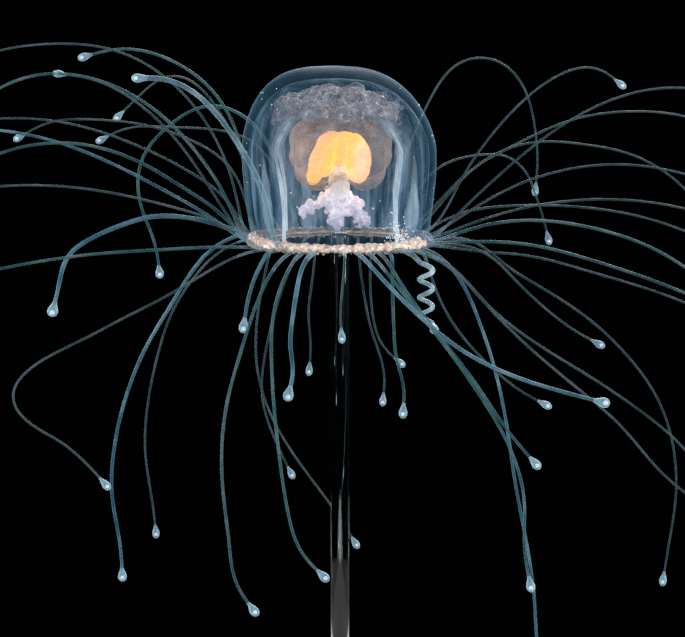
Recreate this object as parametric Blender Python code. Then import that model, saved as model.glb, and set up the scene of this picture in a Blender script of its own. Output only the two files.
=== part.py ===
"""A life-size model of an immortal jellyfish medusa (genus Turritopsis) on a clear display stand.

Metres, +Z up, +X to the viewer's right, +Y to the back.  The origin is the middle of
the underside of the stand's base.  The bell is a thick dome open below; inside it hang the foamy
stalk of gut cells, the stomach with the gonads in it, and the feeding tube with four frilled lips.
"""

import math

import bmesh
import bpy
from mathutils import Vector

MM = 0.001
GAP = 0.3 * MM          # air left between solids that touch in life

# ---------------------------------------------------------------- stand
BASE_RADIUS = 17.0 * MM
BASE_THICK = 3.0 * MM
BASE_BEVEL = 0.5 * MM
ROD_RADIUS = 0.55 * MM
MARGIN_Z = 32.0 * MM    # height of the bell's rim above the floor

# ---------------------------------------------------------------- bell
BELL_RIM_RADIUS = 5.28 * MM
BELL_WIDEST_RADIUS = 5.82 * MM
BELL_WIDEST_Z = 5.4 * MM
BELL_APEX_Z = 10.4 * MM
BELL_DOME_RISE = 1.6    # how late the dome starts to curve in
BELL_DOME_CLOSE = 0.34  # how bluntly it closes at the crown
BELL_EDGE_Z = 0.65 * MM
WALL_SIDE = 0.5 * MM
WALL_APEX = 0.8 * MM
APEX_SHIFT = -0.5 * MM  # the crown leans a little to the left
CANAL_RISE = 0.15 * MM  # how far a radial canal stands in from the wall
CANALS = 4

# ---------------------------------------------------------------- rim ring and velum
RING_RADIUS = 5.05 * MM
RING_THICK = 0.33 * MM
BULB_RISE = 0.09 * MM
VELUM_INNER = 3.1 * MM
VELUM_THICK = 0.5 * MM
VELUM_SAG = 0.25 * MM   # the velum's free edge hangs this much below its root

# ---------------------------------------------------------------- inner organs
STALK_RADIUS = 3.5 * MM
STALK_SHOULDER_Z = 8.25 * MM
STALK_BOTTOM_Z = 7.7 * MM
STALK_BULGE = 0.05      # share by which the stalk bulges towards the four canals
STOMACH_RADIUS = 2.9 * MM
STOMACH_TOP_Z = 7.4 * MM
STOMACH_BOTTOM_Z = 3.1 * MM
STOMACH_WALL = 0.5 * MM
STOMACH_MOUTH = 1.3 * MM
STOMACH_BULGE = 0.10    # share by which the four pouches bulge
GONAD_RADIUS = 1.85 * MM
GONAD_TOP_Z = 6.4 * MM
GONAD_BOTTOM_Z = 3.95 * MM
GONAD_BULGE = 0.12
TUBE_RADIUS = 0.72 * MM
TUBE_TOP_Z = 2.8 * MM
TUBE_FOOT_Z = 2.3 * MM  # where the tube ends and its lips begin
LIP_BOTTOM_Z = 0.8 * MM
LIP_REACH = 2.1 * MM
LIP_HOLLOW = 0.75 * MM  # how deep the mouth is sunk between the lips

# ---------------------------------------------------------------- tentacles
ROOT_RADIUS = 5.78 * MM     # where a tentacle's solid starts, a gap outside the rim ring
ROOT_DROP = 0.1 * MM
TENTACLE_RADIUS = 0.25 * MM
KNOB_RADIUS = 0.33 * MM
KNOB_LENGTH = 0.95 * MM
TENTACLE_SIDES = 5
LEAN = 0.42                 # fore-and-aft slope of a tentacle rooted right at the front or back
LEAN_AT_ROOT = 1.5          # a tentacle leans more at its root, and this much less 1 at its tip
EXTRA_LEAN = {117: 0.12, 281: -0.25, 288: -0.07, 295: 0.1, 302: 0.3}
PATH_STEPS = 72
RING_SPACING = 3.1 * MM     # length of tube between two of its rings where it runs straight
BEND_COST = 2.4 * MM        # each radian of bend counts as this much more length
COIL_STEM = (1.4 * MM, -0.7 * MM, -0.6 * MM)
COIL_STEM_BEND = 0.45       # the stem's middle point lies this far along it
COIL_RADIUS = 0.40 * MM
COIL_PITCH = 1.06 * MM
COIL_TURNS = 3.5
COIL_RINGS = 9              # rings of the tube to each turn
COIL_AZIMUTH = 309

# One row for each tentacle: azimuth of its root round the rim (degrees, 0 at the right, 90 at the
# back), length as drawn out in the plane of the front view (mm), then its climb at even steps from
# root to tip, in degrees: 0 straight out, 90 straight up, -90 straight down, beyond -90 turning in.
TENTACLES = [
    (4, 28.4, (28, -40, -31, -34, -44, -54, -71, -86, -98, -98)),
    (10, 21.1, (49, 43, 40, 32, 19, 0, -16)),
    (16, 19.0, (21, 17, 7, -2, -12, -22)),
    (22, 19.2, (32, 30, 17, 3, -11, -22)),
    (28, 16.6, (42, 63, 55, 48, 38, 16, -40)),
    (34, 19.9, (36, 8, -2, -9, -19, -28)),
    (40, 21.7, (44, 48, 24, -3, -13, -34, -52)),
    (46, 21.5, (40, 45, 27, 23, 7, -5, -20)),
    (53, 14.8, (66, 62, 53, 29, 9, -2, -38, -67, -71, -76)),
    (61, 22.6, (80, 74, 68, 64, 51, 3, -45, -74, -84, -95)),
    (70, 8.7, (-94, -91, -86, -74, -42)),
    (79, 10.9, (-89, -83, -79, -72, -95)),
    (102, 8.7, (-74, -84, -82, -95, -85)),
    (110, 16.6, (-62, -70, -76, -84, -107, -115)),
    (117, 23.3, (77, 70, 56, 18, -30, -50, -86, -110, -95)),
    (123, 15.4, (84, 75, 47, 11, 1, -1, -28)),
    (129, 15.9, (60, 62, 64, 58, 34, -34, -45)),
    (135, 21.8, (-78, -79, -89, -107, -121, -125, -120)),
    (141, 26.6, (13, -40, -58, -59, -68, -76, -85, -99, -92)),
    (147, 21.9, (-8, -42, -57, -72, -78, -86, -98, -95)),
    (153, 17.9, (76, 68, 32, 17, 5, -3, -31)),
    (159, 17.4, (88, 83, 66, 39, 14, -17)),
    (165, 20.6, (75, 39, 27, 20, 10, -2, -14)),
    (171, 15.1, (52, 58, 54, 43, 28, 6)),
    (177, 19.4, (38, 30, 27, 20, 8, -3)),
    (183, 23.1, (74, 59, 47, 28, 5, -26, -42)),
    (189, 24.6, (84, 73, 55, 33, 6, -9, -28)),
    (195, 19.8, (60, 36, 32, 18, -1, -20, -42)),
    (201, 14.5, (58, 22, 12, 1, -16, -23, -36, -75, -76)),
    (207, 19.3, (43, 20, 14, 6, -4, -17)),
    (213, 19.0, (4, -1, -2, -7, -11, -15)),
    (219, 23.8, (-5, -25, -30, -28, -25, -27, -25, -29, -54, -128, -152, -140, -132)),
    (225, 4.2, (-55, -64, -75, -82)),
    (231, 13.6, (72, 80, 67, 59, 51, 31, 0)),
    (238, 20.5, (-45, -66, -72, -74, -83, -92, -98, -98, -128)),
    (246, 18.4, (-52, -73, -89, -94, -97, -99, -107, -138)),
    (254, 7.7, (-45, -76, -81, -84, -98, -76)),
    (273, 4.2, (-92, -96, -94, -86)),
    (281, 15.2, (-46, -42, -36, -23, -14, -12)),
    (288, 20.1, (-50, -49, -50, -54, -59, -73, -92, -78)),
    (295, 14.3, (-60, -53, -51, -56, -48)),
    (302, 9.0, (-90, -89, -88, -86, -74, -94)),
    (316, 24.3, (-10, -45, -44, -39, -39, -50, -35, -18)),
    (322, 24.2, (-15, -48, -37, -30, -33, -39, -57, -72)),
    (328, 11.4, (-75, -70, -57, -46, -39, -27)),
    (334, 26.4, (-30, -64, -71, -78, -82, -79, -81, -87, -77)),
    (340, 11.3, (8, -14, -44, -43, -37, -28)),
    (346, 18.9, (-12, -3, -15, -16, -22, -34)),
    (352, 18.6, (4, -2, -14, -18, -22, -26)),
    (358, 19.0, (25, 9, -7, -18, -33, -45)),
]


def at_share(values, share):
    """The value at a share of the way along evenly spaced values, on a smooth curve through them."""
    place = share * (len(values) - 1)
    i = min(int(place), len(values) - 2)
    t = place - i
    before, a, b, after = (values[max(i - 1, 0)], values[i], values[i + 1],
                           values[min(i + 2, len(values) - 1)])
    slope_a, slope_b = (b - before) / 2, (after - a) / 2
    return (a + slope_a * t + (3 * (b - a) - 2 * slope_a - slope_b) * t ** 2
            + (2 * (a - b) + slope_a + slope_b) * t ** 3)


def tentacle_path(azimuth, length, climbs):
    """Centre line of a tentacle, from its root to the tip of its knob."""
    angle = math.radians(azimuth)
    side = 1 if math.cos(angle) > 0 else -1
    lean = LEAN * math.sin(angle) + EXTRA_LEAN.get(azimuth, 0)
    point = Vector((ROOT_RADIUS * math.cos(angle), ROOT_RADIUS * math.sin(angle),
                    MARGIN_Z - ROOT_DROP))
    path = [point]
    step = length * MM / PATH_STEPS
    for i in range(PATH_STEPS):
        share = (i + 0.5) / PATH_STEPS
        climb = math.radians(at_share(climbs, share))
        spread = lean * (LEAN_AT_ROOT - share)
        point = point + step * Vector((side * math.cos(climb), spread, math.sin(climb)))
        path.append(point)
    return path


def coil_path():
    """Centre line of the one contracted tentacle: a short stem, then a corkscrew hanging down."""
    angle = math.radians(COIL_AZIMUTH)
    root = Vector((ROOT_RADIUS * math.cos(angle), ROOT_RADIUS * math.sin(angle),
                   MARGIN_Z - ROOT_DROP))
    axis_top = root + Vector(COIL_STEM)
    path = [root, root + COIL_STEM_BEND * Vector(COIL_STEM)]
    steps = round(COIL_TURNS * COIL_RINGS)
    for i in range(steps + 1):
        turn = 2 * math.pi * i * COIL_TURNS / steps
        around = Vector((-math.cos(turn), math.sin(turn), 0))
        path.append(axis_top + COIL_RADIUS * around - Vector((0, 0, COIL_PITCH * turn / (2 * math.pi))))
    return path


def all_paths():
    """Names and centre lines of all the tentacles, in order round the rim."""
    rows = [(azimuth, tentacle_path(azimuth, length, climbs)) for azimuth, length, climbs in TENTACLES]
    rows.append((COIL_AZIMUTH, coil_path()))
    rows.sort(key=lambda row: row[0])
    return [(f"tentacle_{i + 1:02d}", azimuth, path) for i, (azimuth, path) in enumerate(rows)]


# ---------------------------------------------------------------- mesh helpers
SOFT_CREASE = math.radians(50)      # edges of flesh sharper than this show as creases
HARD_CREASE = math.radians(30)      # and edges of the stand


def material(name, colour, roughness):
    """A plain Principled material of one colour."""
    made = bpy.data.materials.new(name)
    made.use_nodes = True
    shader = made.node_tree.nodes["Principled BSDF"]
    shader.inputs["Base Color"].default_value = (*colour, 1)
    shader.inputs["Roughness"].default_value = roughness
    shader.inputs["Metallic"].default_value = 0
    return made


def add_solid(name, rings, look, start=None, end=None, closed=False, crease=SOFT_CREASE):
    """One closed body skinned over rings of points.

    start and end are points that close the first and last ring, or None for a flat cap; a closed
    body runs from its last ring back to its first, like a hoop.
    """
    bm = bmesh.new()
    rows = [[bm.verts.new(point) for point in ring] for ring in rings]
    pairs = list(zip(rows, rows[1:]))
    if closed:
        pairs.append((rows[-1], rows[0]))
    for low, high in pairs:
        for i in range(len(low)):
            j = (i + 1) % len(low)
            bm.faces.new((low[i], low[j], high[j], high[i]))
    if not closed:
        for row, pole in ((rows[0], start), (rows[-1], end)):
            if pole is None:
                bm.faces.new(row)
            else:
                tip = bm.verts.new(pole)
                for i in range(len(row)):
                    bm.faces.new((row[i], row[(i + 1) % len(row)], tip))
    bmesh.ops.recalc_face_normals(bm, faces=bm.faces)
    mesh = bpy.data.meshes.new(name)
    bm.to_mesh(mesh)
    bm.free()
    mesh.shade_smooth()
    mesh.set_sharp_from_angle(angle=crease)
    mesh.materials.append(look)
    made = bpy.data.objects.new(name, mesh)
    bpy.context.scene.collection.objects.link(made)
    return made


def round_ring(radius, z, count, shift=0.0):
    """Points round a level circle; radius may be a function of the angle."""
    points = []
    for i in range(count):
        angle = 2 * math.pi * i / count
        r = radius(angle) if callable(radius) else radius
        points.append(Vector((shift + r * math.cos(angle), r * math.sin(angle), MARGIN_Z + z)))
    return points


# ---------------------------------------------------------------- bell
BELL_COLUMNS = 32
SKIRT_RINGS = 4
DOME_RINGS = 6


def bell_radius(z, rim, widest, apex):
    """Radius of a bell surface at a height above the rim."""
    if z <= BELL_WIDEST_Z:
        return rim + (widest - rim) * math.sin(math.pi / 2 * z / BELL_WIDEST_Z)
    rise = min((z - BELL_WIDEST_Z) / (apex - BELL_WIDEST_Z), 1)
    return widest * (1 - rise ** BELL_DOME_RISE) ** BELL_DOME_CLOSE


def crown_shift(z):
    """Sideways lean of the bell at a height above the rim."""
    return APEX_SHIFT * (max(z, 0) / BELL_APEX_Z) ** 3


def bell_heights(apex):
    """Heights of the rings of a bell surface, from its edge up, closer together near the crown."""
    skirt = [BELL_EDGE_Z + (BELL_WIDEST_Z - BELL_EDGE_Z) * i / SKIRT_RINGS for i in range(SKIRT_RINGS)]
    dome = [BELL_WIDEST_Z + (apex - BELL_WIDEST_Z) * math.sin(math.pi / 2 * i / DOME_RINGS)
            for i in range(DOME_RINGS)]
    return skirt + dome


def near_canal(angle):
    """1 at the four radial canals, falling to 0 between them."""
    return max(0.0, math.cos(CANALS * (angle - math.pi / CANALS))) ** 6


def make_bell(look):
    outer = [round_ring(bell_radius(z, BELL_RIM_RADIUS, BELL_WIDEST_RADIUS, BELL_APEX_Z), z,
                        BELL_COLUMNS, crown_shift(z)) for z in reversed(bell_heights(BELL_APEX_Z))]
    inner_apex = BELL_APEX_Z - WALL_APEX
    inner = []
    for z in bell_heights(inner_apex):
        wall = bell_radius(z, BELL_RIM_RADIUS - WALL_SIDE, BELL_WIDEST_RADIUS - WALL_SIDE, inner_apex)
        inner.append(round_ring(lambda angle: wall - CANAL_RISE * near_canal(angle), z,
                                BELL_COLUMNS, crown_shift(z)))
    poles = [Vector((crown_shift(z), 0, MARGIN_Z + z)) for z in (BELL_APEX_Z, inner_apex)]
    return add_solid("bell", outer + inner, look, *poles)


# ---------------------------------------------------------------- rim ring and velum
RING_SIDES = 5


def make_rim_ring(look):
    """The ring of bulbs round the bell's edge: it swells at each tentacle's root."""
    azimuths = sorted(azimuth for _, azimuth, _ in all_paths())
    columns = []
    for here, following in zip(azimuths, azimuths[1:] + [azimuths[0] + 360]):
        columns += [(here, BULB_RISE), ((here + following) / 2, -BULB_RISE / 2)]
    rings = []
    for azimuth, swell in columns:
        angle = math.radians(azimuth)
        thick = RING_THICK + swell
        ring = []
        for i in range(RING_SIDES):
            turn = 2 * math.pi * i / RING_SIDES
            r = RING_RADIUS + thick * math.cos(turn)
            ring.append(Vector((r * math.cos(angle), r * math.sin(angle),
                                MARGIN_Z + thick * math.sin(turn))))
        rings.append(ring)
    return add_solid("rim_ring", rings, look, closed=True)


def make_velum(look):
    """The shelf inside the rim that narrows the bell's mouth."""
    outer = RING_RADIUS - RING_THICK - BULB_RISE - GAP
    low, high = -VELUM_THICK / 2, VELUM_THICK / 2
    profile = [(outer, high), ((outer + VELUM_INNER) / 2, high - VELUM_SAG / 2),
               (VELUM_INNER, high - VELUM_SAG), (VELUM_INNER, low - VELUM_SAG),
               ((outer + VELUM_INNER) / 2, low - VELUM_SAG / 2), (outer, low)]
    rings = [round_ring(radius, z, BELL_COLUMNS) for radius, z in profile]
    return add_solid("velum", rings, look, closed=True)


# ---------------------------------------------------------------- inner organs
ORGAN_COLUMNS = 20
STALK_DOME = (0.25, 0.5, 0.75, 0.95)    # shares of the stalk's radius at the rings of its domed top
STALK_DOME_DROP = 0.62      # share of the stalk's height taken up by its domed top
STOMACH_OUTER_RINGS = 7
STOMACH_INNER_RINGS = 6
GONAD_RINGS = 6
LIP_POINTS = 24             # points round the mouth, six to each lip
LIP_RINGS = (0.35, 0.7, 1.0)            # shares of the way from the tube's foot to the lips' edge
LIP_FALL = 0.55             # share of the lips' fall that the gaps between them have too


def pouched(radius, bulge):
    """A radius that swells in four pouches, in line with the radial canals."""
    return lambda angle: radius * (1 + bulge * math.cos(CANALS * angle - math.pi))


def make_stalk(look):
    """The foamy cushion of gut cells that fills the crown above the stomach."""
    inner_apex = BELL_APEX_Z - WALL_APEX
    top = inner_apex - GAP
    levels = []
    for share in STALK_DOME:
        z = top - (top - STALK_BOTTOM_Z) * STALK_DOME_DROP * share ** 2
        wall = bell_radius(z, BELL_RIM_RADIUS, BELL_WIDEST_RADIUS - WALL_SIDE, inner_apex)
        levels.append((min(STALK_RADIUS * share ** 0.8, wall - CANAL_RISE - GAP), z))
    levels += [(0.92 * STALK_RADIUS, STALK_SHOULDER_Z), (0.62 * STALK_RADIUS, STALK_BOTTOM_Z)]
    rings = [round_ring(pouched(radius, STALK_BULGE), z, ORGAN_COLUMNS, crown_shift(z))
             for radius, z in levels]
    poles = [Vector((crown_shift(top), 0, MARGIN_Z + z)) for z in (top, STALK_BOTTOM_Z)]
    return add_solid("gut_stalk", rings, look, *poles)


def bag_rings(radius, tall, mouth, count):
    """Rings up one surface of the stomach's wall, from next to its foot to its mouth."""
    middle = (STOMACH_TOP_Z + STOMACH_BOTTOM_Z) / 2
    last = math.pi - math.asin(mouth / radius)
    rings = []
    for i in range(1, count + 1):
        polar = last * i / count
        z = middle - tall * math.cos(polar)
        bulge = STOMACH_BULGE * (0.3 + max(0.0, math.cos(polar)))
        rings.append(round_ring(pouched(radius * math.sin(polar), bulge), z, ORGAN_COLUMNS, crown_shift(z)))
    return rings


def make_stomach(look):
    """A thick-walled bag, open at the top under the stalk, with four pouches at its foot."""
    tall = (STOMACH_TOP_Z - STOMACH_BOTTOM_Z) / 2
    lip = 0.1 * MM          # the mouth narrows this much from its outer edge to its inner one
    outer = bag_rings(STOMACH_RADIUS, tall, STOMACH_MOUTH, STOMACH_OUTER_RINGS)
    inner = bag_rings(STOMACH_RADIUS - STOMACH_WALL, tall - STOMACH_WALL, STOMACH_MOUTH - lip,
                      STOMACH_INNER_RINGS)
    feet = [Vector((0, 0, MARGIN_Z + z)) for z in (STOMACH_BOTTOM_Z, STOMACH_BOTTOM_Z + STOMACH_WALL)]
    return add_solid("stomach", outer + inner[::-1], look, *feet)


def make_gonads(look):
    """The egg-filled body in the stomach: a rounded mass in four lobes, flatter on top."""
    middle = (GONAD_TOP_Z + GONAD_BOTTOM_Z) / 2
    half = (GONAD_TOP_Z - GONAD_BOTTOM_Z) / 2
    rings = []
    for i in range(1, GONAD_RINGS + 1):
        polar = math.pi * i / (GONAD_RINGS + 1)
        rings.append(round_ring(pouched(GONAD_RADIUS * math.sin(polar) ** 0.8, GONAD_BULGE),
                                middle + half * math.cos(polar), ORGAN_COLUMNS))
    poles = [Vector((0, 0, MARGIN_Z + z)) for z in (GONAD_TOP_Z, GONAD_BOTTOM_Z)]
    return add_solid("gonads", rings, look, *poles)


def lip_ring(share):
    """One ring of the lips, a share of the way from the tube's foot to their frilled edge."""
    ring = []
    for i in range(LIP_POINTS):
        angle = 2 * math.pi * i / LIP_POINTS
        out = abs(math.cos(2 * angle))          # 1 along each lip, 0 between two lips
        lip = max(0.0, math.cos(2 * angle)) ** 2 if i % 2 else out ** 1.5
        r = TUBE_RADIUS * (1 - 0.25 * share) + (LIP_REACH - TUBE_RADIUS) * share * lip
        fall = (TUBE_FOOT_Z - LIP_BOTTOM_Z) * share * (LIP_FALL + (1 - LIP_FALL) * lip)
        ring.append(Vector((r * math.cos(angle), r * math.sin(angle), MARGIN_Z + TUBE_FOOT_Z - fall)))
    return ring


def make_manubrium(look):
    """The feeding tube and its mouth, spread into four lips that hang and curl."""
    rings = [round_ring(TUBE_RADIUS, z, LIP_POINTS) for z in (TUBE_TOP_Z, TUBE_FOOT_Z)]
    rings += [lip_ring(share) for share in LIP_RINGS]
    rings.append([Vector((0.55 * p.x, 0.55 * p.y, p.z + 0.1 * MM)) for p in rings[-1]])
    return add_solid("manubrium", rings, look, Vector((0, 0, MARGIN_Z + TUBE_TOP_Z)),
                     Vector((0, 0, MARGIN_Z + LIP_BOTTOM_Z + LIP_HOLLOW)))


# ---------------------------------------------------------------- tentacles
KNOB_SWELL = ((0.35, 0.9), (0.72, 1.0))     # (share of the knob's length, share of its radius)


def tube_stations(path, spacing):
    """Points of a path spread evenly by length, closer together where it bends."""
    cost = [0.0]
    for i in range(1, len(path)):
        step = path[i] - path[i - 1]
        bend = step.angle(path[i - 1] - path[i - 2]) if i > 1 else 0.0
        cost.append(cost[-1] + step.length + BEND_COST * bend)
    count = max(3, round(cost[-1] / spacing))
    stations = []
    for k in range(count + 1):
        goal = cost[-1] * k / count
        rounding = 1e-12
        stations.append(next(point for point, value in zip(path, cost) if value >= goal - rounding))
    return stations


def tube_rings(centres, radii):
    """Rings of points round a centre line, without twist."""
    rings = []
    across = None
    for i, centre in enumerate(centres):
        ahead = (centres[min(i + 1, len(centres) - 1)] - centres[max(i - 1, 0)]).normalized()
        if across is None:
            across = ahead.orthogonal().normalized()
        across = (across - across.dot(ahead) * ahead).normalized()
        beside = ahead.cross(across)
        rings.append([centre + radii[i] * (math.cos(turn) * across + math.sin(turn) * beside)
                      for turn in [2 * math.pi * k / TENTACLE_SIDES for k in range(TENTACLE_SIDES)]])
    return rings


def make_tentacle(name, path, look, coiled=False):
    """A tube along the path with a teardrop knob of stinging cells at its tip."""
    stem = path if coiled else tube_stations(path, RING_SPACING)
    ahead = (path[-1] - path[-2]).normalized()
    knob = [path[-1] + ahead * KNOB_LENGTH * share for share, _ in KNOB_SWELL]
    radii = [TENTACLE_RADIUS] * len(stem) + [KNOB_RADIUS * swell for _, swell in KNOB_SWELL]
    return add_solid(name, tube_rings(stem + knob, radii), look, None, path[-1] + ahead * KNOB_LENGTH)


# ---------------------------------------------------------------- stand
BASE_COLUMNS = 60
ROD_COLUMNS = 16


def turned(name, profile, columns, look):
    """A lathe-turned solid of the stand; the profile is (radius, height above the floor)."""
    rings = [round_ring(radius, z - MARGIN_Z, columns) for radius, z in profile]
    return add_solid(name, rings, look, crease=HARD_CREASE)


def make_stand(base_look, rod_look):
    """A flat round base, and a thin rod up through the bell's mouth to just under the lips."""
    turned("stand_base", ((BASE_RADIUS - BASE_BEVEL, 0), (BASE_RADIUS, BASE_BEVEL),
                          (BASE_RADIUS, BASE_THICK - BASE_BEVEL), (BASE_RADIUS - BASE_BEVEL, BASE_THICK)),
           BASE_COLUMNS, base_look)
    rod_top = MARGIN_Z + LIP_BOTTOM_Z - GAP
    turned("stand_rod", ((ROD_RADIUS, BASE_THICK + GAP), (ROD_RADIUS, rod_top - ROD_RADIUS / 2),
                         (ROD_RADIUS / 2, rod_top)), ROD_COLUMNS, rod_look)


def main():
    for old in list(bpy.data.objects):
        bpy.data.objects.remove(old)
    jelly = material("jelly", (0.14, 0.30, 0.38), 0.2)
    make_bell(jelly)
    make_velum(material("velum", (0.35, 0.45, 0.52), 0.3))
    make_rim_ring(material("bulbs", (0.80, 0.58, 0.42), 0.5))
    make_stalk(material("gut_cells", (0.28, 0.26, 0.36), 0.6))
    make_stomach(material("stomach_wall", (0.30, 0.24, 0.23), 0.5))
    make_gonads(material("eggs", (0.95, 0.55, 0.12), 0.6))
    make_manubrium(material("lips", (0.85, 0.80, 0.92), 0.5))
    thread = material("tentacle_flesh", (0.10, 0.27, 0.33), 0.4)
    for name, azimuth, path in all_paths():
        make_tentacle(name, path, thread, coiled=azimuth == COIL_AZIMUTH)
    make_stand(material("black_acrylic", (0.02, 0.02, 0.025), 0.15),
               material("clear_acrylic", (0.85, 0.9, 0.92), 0.05))


main()
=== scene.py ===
"""An immortal jellyfish medusa (genus Turritopsis), life size, on a clear rod.

These are the looks round the CAD frame, in metres, +Z up.  One skin of flesh stands for the bell,
velum, rim ring and tentacles; the organs inside are pieces of their own, seen through the jelly.
Heights of the animal's parts are counted from the bell's rim.
"""

import math
import random

import bmesh
import bpy
from mathutils import Euler, Matrix, Vector, noise


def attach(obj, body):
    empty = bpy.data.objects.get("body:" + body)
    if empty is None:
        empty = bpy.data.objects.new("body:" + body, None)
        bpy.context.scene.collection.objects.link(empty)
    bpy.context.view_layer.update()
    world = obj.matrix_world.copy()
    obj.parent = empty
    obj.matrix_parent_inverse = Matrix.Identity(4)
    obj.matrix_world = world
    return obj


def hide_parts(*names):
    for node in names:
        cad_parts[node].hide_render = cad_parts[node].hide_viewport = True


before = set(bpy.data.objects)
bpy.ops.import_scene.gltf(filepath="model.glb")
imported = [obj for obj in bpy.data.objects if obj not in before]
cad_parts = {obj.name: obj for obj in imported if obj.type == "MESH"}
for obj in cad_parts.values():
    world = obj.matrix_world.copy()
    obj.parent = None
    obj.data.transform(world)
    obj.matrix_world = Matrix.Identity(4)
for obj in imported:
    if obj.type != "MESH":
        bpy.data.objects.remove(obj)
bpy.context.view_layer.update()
random.seed(11)

MM = 0.001
MARGIN_Z = 32.0 * MM        # height of the bell's rim above the floor

# ---------------------------------------------------------------- sizes shared with the CAD solids
BELL_RIM_RADIUS = 5.28 * MM
BELL_WIDEST_RADIUS = 5.82 * MM
BELL_WIDEST_Z = 5.4 * MM
BELL_APEX_Z = 10.4 * MM
BELL_DOME_RISE = 1.6        # how late the dome starts to curve in
BELL_DOME_CLOSE = 0.34      # how bluntly it closes at the crown
WALL_SIDE = 0.42 * MM       # thickness of the jelly at the sides,
WALL_APEX = 0.75 * MM       # and at the crown
APEX_SHIFT = -0.5 * MM      # the crown leans a little to the left
RING_RADIUS = 5.05 * MM
RING_THICK = 0.25 * MM      # radius of the rim ring itself, between its bulbs
VELUM_INNER = 3.1 * MM
ROOT_RADIUS = 5.78 * MM     # where a tentacle's solid starts, just outside the rim ring
ROOT_DROP = 0.1 * MM
LEAN = 0.42                 # fore-and-aft slope of a tentacle rooted right at the front or back
LEAN_AT_ROOT = 1.5          # its share of that slope at the root; the tip has 1 less
# By azimuth: slope to add, so that neighbours pass clear of each other
EXTRA_LEAN = {117: 0.12, 281: -0.25, 288: -0.07, 295: 0.1, 302: 0.3}
PATH_STEPS = 72             # straight steps along a tentacle's centre line
COIL_STEM = (1.4 * MM, -0.7 * MM, -0.6 * MM)    # from the coiled tentacle's root to its corkscrew
COIL_STEM_BEND = 0.45       # the stem's middle point lies this far along it
COIL_RADIUS = 0.40 * MM
COIL_PITCH = 1.06 * MM
COIL_TURNS = 3.5
COIL_RINGS = 22             # rings of the tube to each turn
COIL_AZIMUTH = 309

# Azimuth of each tentacle's root (degrees), its length (mm) and its climb from root to tip (degrees)
TENTACLES = [
    (4, 28.4, (28, -40, -31, -34, -44, -54, -71, -86, -98, -98)),
    (10, 21.1, (49, 43, 40, 32, 19, 0, -16)),
    (16, 19.0, (21, 17, 7, -2, -12, -22)),
    (22, 19.2, (32, 30, 17, 3, -11, -22)),
    (28, 16.6, (42, 63, 55, 48, 38, 16, -40)),
    (34, 19.9, (36, 8, -2, -9, -19, -28)),
    (40, 21.7, (44, 48, 24, -3, -13, -34, -52)),
    (46, 21.5, (40, 45, 27, 23, 7, -5, -20)),
    (53, 14.8, (66, 62, 53, 29, 9, -2, -38, -67, -71, -76)),
    (61, 22.6, (80, 74, 68, 64, 51, 3, -45, -74, -84, -95)),
    (70, 8.7, (-94, -91, -86, -74, -42)),
    (79, 10.9, (-89, -83, -79, -72, -95)),
    (102, 8.7, (-74, -84, -82, -95, -85)),
    (110, 16.6, (-62, -70, -76, -84, -107, -115)),
    (117, 23.3, (77, 70, 56, 18, -30, -50, -86, -110, -95)),
    (123, 15.4, (84, 75, 47, 11, 1, -1, -28)),
    (129, 15.9, (60, 62, 64, 58, 34, -34, -45)),
    (135, 21.8, (-78, -79, -89, -107, -121, -125, -120)),
    (141, 26.6, (13, -40, -58, -59, -68, -76, -85, -99, -92)),
    (147, 21.9, (-8, -42, -57, -72, -78, -86, -98, -95)),
    (153, 17.9, (76, 68, 32, 17, 5, -3, -31)),
    (159, 17.4, (88, 83, 66, 39, 14, -17)),
    (165, 20.6, (75, 39, 27, 20, 10, -2, -14)),
    (171, 15.1, (52, 58, 54, 43, 28, 6)),
    (177, 19.4, (38, 30, 27, 20, 8, -3)),
    (183, 23.1, (74, 59, 47, 28, 5, -26, -42)),
    (189, 24.6, (84, 73, 55, 33, 6, -9, -28)),
    (195, 19.8, (60, 36, 32, 18, -1, -20, -42)),
    (201, 14.5, (58, 22, 12, 1, -16, -23, -36, -75, -76)),
    (207, 19.3, (43, 20, 14, 6, -4, -17)),
    (213, 19.0, (4, -1, -2, -7, -11, -15)),
    (219, 23.8, (-5, -25, -30, -28, -25, -27, -25, -29, -54, -128, -152, -140, -132)),
    (225, 4.2, (-55, -64, -75, -82)),
    (231, 13.6, (72, 80, 67, 59, 51, 31, 0)),
    (238, 20.5, (-45, -66, -72, -74, -83, -92, -98, -98, -128)),
    (246, 18.4, (-52, -73, -89, -94, -97, -99, -107, -138)),
    (254, 7.7, (-45, -76, -81, -84, -98, -76)),
    (273, 4.2, (-92, -96, -94, -86)),
    (281, 15.2, (-46, -42, -36, -23, -14, -12)),
    (288, 20.1, (-50, -49, -50, -54, -59, -73, -92, -78)),
    (295, 14.3, (-60, -53, -51, -56, -48)),
    (302, 9.0, (-90, -89, -88, -86, -74, -94)),
    (316, 24.3, (-10, -45, -44, -39, -39, -50, -35, -18)),
    (322, 24.2, (-15, -48, -37, -30, -33, -39, -57, -72)),
    (328, 11.4, (-75, -70, -57, -46, -39, -27)),
    (334, 26.4, (-30, -64, -71, -78, -82, -79, -81, -87, -77)),
    (340, 11.3, (8, -14, -44, -43, -37, -28)),
    (346, 18.9, (-12, -3, -15, -16, -22, -34)),
    (352, 18.6, (4, -2, -14, -18, -22, -26)),
    (358, 19.0, (25, 9, -7, -18, -33, -45)),
]


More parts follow.
